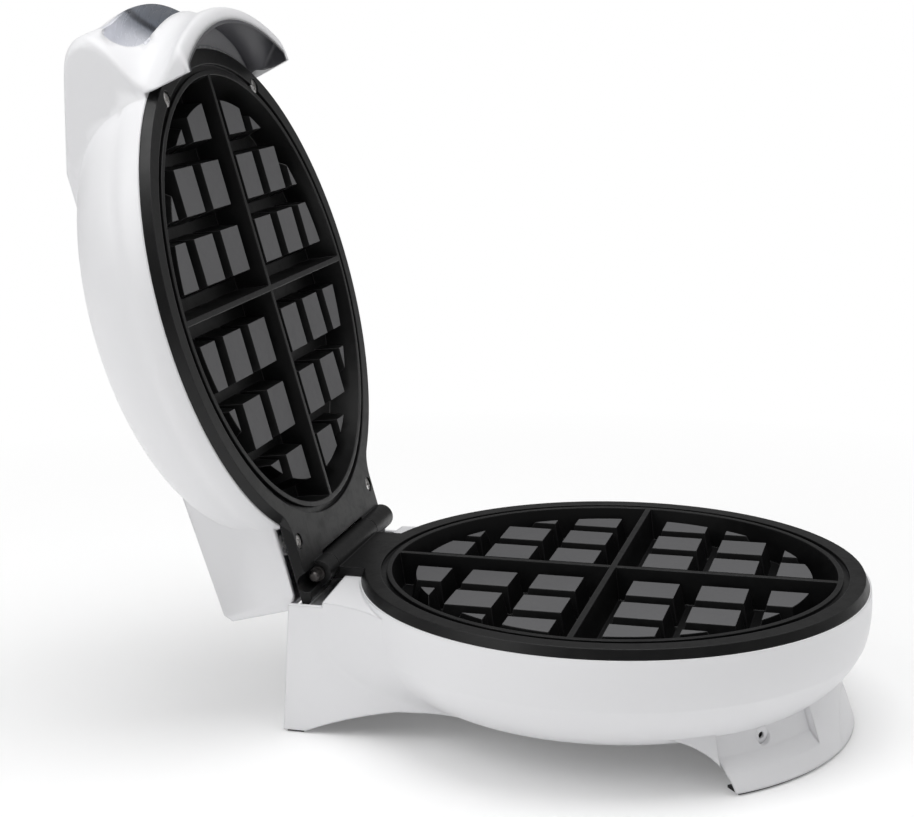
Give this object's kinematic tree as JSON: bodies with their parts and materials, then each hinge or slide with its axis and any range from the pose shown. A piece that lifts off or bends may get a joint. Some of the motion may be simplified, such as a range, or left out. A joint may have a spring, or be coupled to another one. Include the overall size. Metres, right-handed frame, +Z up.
{
  "type": "belgian waffle maker",
  "caption": "Round waffle maker with two deep-pocket grid plates, a hinged domed lid with a moulded grip hood, and a footed base.",
  "frame": {"origin": "centre of the bounding box at rest, on the surface it stands on", "axes": "+X along the hinge, -Y towards the front of the base, +Z up; the lid stands open at the rear"},
  "size_m": [0.2026, 0.3038, 0.2808],
  "materials": {
    "base_housing": "glossy white moulded plastic",
    "lower_grid_plate": "black non-stick coating on cast aluminium",
    "lower_element": "heat-stained steel sheath",
    "lower_element_clips": "stamped steel",
    "lower_reflector": "bright pressed steel",
    "thermostat": "stamped steel cap",
    "thermal_fuse": "ceramic-coloured sleeve",
    "terminal_block": "moulded terminal block",
    "cord_gland": "white moulded gland",
    "base_screws": "zinc-plated steel",
    "foot_screws": "zinc-plated steel",
    "hinge_pin": "bright steel pin",
    "hinge_pin_clip": "spring steel",
    "rear_foot_pads": "dark rubber",
    "front_foot_pads": "dark rubber",
    "lid_housing": "glossy white moulded plastic",
    "upper_grid_plate": "black non-stick coating on cast aluminium",
    "upper_element": "heat-stained steel sheath",
    "upper_element_clips": "stamped steel",
    "upper_reflector": "bright pressed steel",
    "upper_cutout": "stamped steel cap",
    "upper_reflector_screws": "zinc-plated steel",
    "plate_screws": "bright steel",
    "grip_liner": "dark grey satin plastic",
    "pocket_liner": "blue-grey plastic",
    "lamp_lenses": "smoked lens",
    "lamps": "neon lamp body"
  },
  "bodies": {
    "base": {"base_housing": "base_housing", "lower_grid_plate": "lower_grid_plate", "lower_element": "lower_element", "lower_element_clips": "lower_element_clips", "lower_reflector": "lower_reflector", "thermostat": "thermostat", "thermal_fuse": "thermal_fuse", "terminal_block": "terminal_block", "cord_gland": "cord_gland", "base_screws": "base_screws", "foot_screws": "foot_screws", "hinge_pin": "hinge_pin", "hinge_pin_clip": "hinge_pin_clip", "rear_foot_pads": "rear_foot_pads", "front_foot_pads": "front_foot_pads"},
    "lid": {"lid_housing": "lid_housing", "upper_grid_plate": "upper_grid_plate", "upper_element": "upper_element", "upper_element_clips": "upper_element_clips", "upper_reflector": "upper_reflector", "upper_cutout": "upper_cutout", "upper_reflector_screws": "upper_reflector_screws", "plate_screws": "plate_screws", "grip_liner": "grip_liner", "pocket_liner": "pocket_liner", "lamp_lenses": "lamp_lenses", "lamps": "lamps"}
  },
  "joints": [
    {"name": "lid_hinge", "type": "hinge", "parent": "base", "child": "lid", "pos_m": [0, 0.06042, 0.06], "axis": [1, 0, 0], "range_deg": [0, 105.66]}
  ]
}
